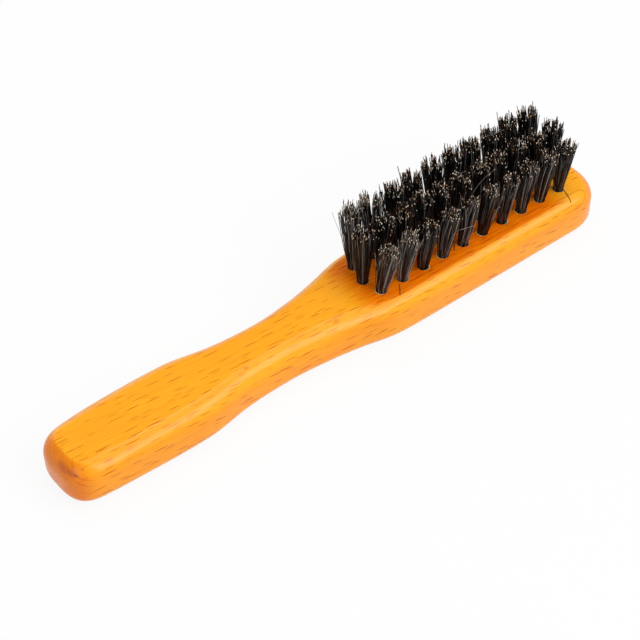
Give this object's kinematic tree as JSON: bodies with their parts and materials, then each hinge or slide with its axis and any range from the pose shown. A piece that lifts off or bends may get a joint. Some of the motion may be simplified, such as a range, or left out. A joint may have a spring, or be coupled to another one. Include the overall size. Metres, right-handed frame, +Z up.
{
  "type": "bristle hand brush",
  "caption": "Hand brush with a slim varnished wooden body, a waisted handle and a flat head set with rows of dark natural bristle tufts held in drilled holes by wire anchors.",
  "frame": {"origin": "under the middle of the body's length and width, on the surface that the flat back lies on", "axes": "+X from the handle towards the head, +Z up, the way the bristles stand"},
  "size_m": [0.175, 0.0274, 0.0329],
  "materials": {
    "varnished_beech": "amber gloss varnish over beech grain",
    "bristle": "natural bristle, near black with tan tips",
    "anchor_wire": "plain flat wire"
  },
  "bodies": {
    "root": {"wooden_body": "varnished_beech", "right_tuft_01": "bristle", "right_tuft_02": "bristle", "right_tuft_03": "bristle", "right_tuft_04": "bristle", "right_tuft_05": "bristle", "right_tuft_06": "bristle", "right_tuft_07": "bristle", "right_tuft_08": "bristle", "right_tuft_09": "bristle", "right_tuft_10": "bristle", "middle_tuft_01": "bristle", "middle_tuft_02": "bristle", "middle_tuft_03": "bristle", "middle_tuft_04": "bristle", "middle_tuft_05": "bristle", "middle_tuft_06": "bristle", "middle_tuft_07": "bristle", "middle_tuft_08": "bristle", "middle_tuft_09": "bristle", "middle_tuft_10": "bristle", "middle_tuft_11": "bristle", "left_tuft_01": "bristle", "left_tuft_02": "bristle", "left_tuft_03": "bristle", "left_tuft_04": "bristle", "left_tuft_05": "bristle", "left_tuft_06": "bristle", "left_tuft_07": "bristle", "left_tuft_08": "bristle", "left_tuft_09": "bristle", "left_tuft_10": "bristle", "anchor_wires": "anchor_wire"}
  },
  "joints": []
}
